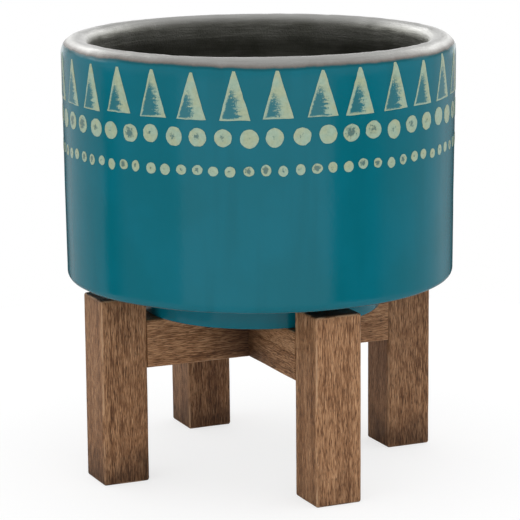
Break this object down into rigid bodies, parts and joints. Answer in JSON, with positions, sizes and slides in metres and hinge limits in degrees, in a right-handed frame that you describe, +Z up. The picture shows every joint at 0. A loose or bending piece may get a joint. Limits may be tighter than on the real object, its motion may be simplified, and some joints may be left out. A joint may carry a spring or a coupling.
{
  "type": "footed planter on a cross stand",
  "caption": "Round glazed pot with a grey rim and a patterned band, standing by its stepped foot on a low wooden cross stand with square legs.",
  "frame": {"origin": "on the floor under the pot's axis, at the middle of the stand", "axes": "+Z up along the pot's axis, X and Y along the two crossed rails, -Y towards the front leg"},
  "size_m": [0.2034, 0.2034, 0.227],
  "materials": {
    "teal_glaze": "glossy teal glaze with a pale printed pattern, dull pewter-grey rim and inside",
    "stained_wood": "brown stain, open grain, satin",
    "dowel_wood": "bare beech",
    "screw_steel": "zinc plated"
  },
  "bodies": {
    "stand": {"right_leg": "stained_wood", "back_leg": "stained_wood", "left_leg": "stained_wood", "front_leg": "stained_wood", "lower_rail": "stained_wood", "upper_rail": "stained_wood", "right_dowel_low": "dowel_wood", "right_dowel_high": "dowel_wood", "back_dowel_low": "dowel_wood", "back_dowel_high": "dowel_wood", "left_dowel_low": "dowel_wood", "left_dowel_high": "dowel_wood", "front_dowel_low": "dowel_wood", "front_dowel_high": "dowel_wood", "lap_screw": "screw_steel"},
    "pot": {"pot": "teal_glaze"}
  },
  "joints": [
    {"name": "pot_lift", "type": "slide", "parent": "stand", "child": "pot", "axis": [0, 0, 1], "range_m": [0, 0.15]}
  ]
}
